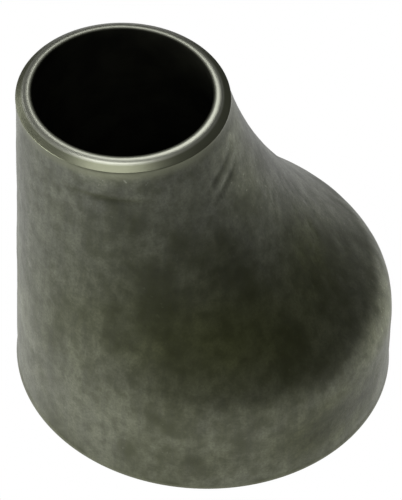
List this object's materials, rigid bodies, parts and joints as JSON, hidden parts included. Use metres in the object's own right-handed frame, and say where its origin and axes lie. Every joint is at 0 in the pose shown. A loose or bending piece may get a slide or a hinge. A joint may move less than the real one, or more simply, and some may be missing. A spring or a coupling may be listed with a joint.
{
  "type": "eccentric pipe reducer",
  "caption": "Eccentric butt-weld steel pipe reducer with one flat side; joins a larger pipe to a smaller one, with a weld bevel on each end.",
  "frame": {"origin": "centre of the large end's face plane", "axes": "+Z along the large end's axis towards the small end, -X towards the flat side"},
  "size_m": [0.0888, 0.0888, 0.089],
  "materials": {
    "scaled_steel": "dark grey-green mill scale, satin, with bright machined lands and bevels at both ends"
  },
  "bodies": {
    "root": {"reducer_body": "scaled_steel"}
  },
  "joints": []
}
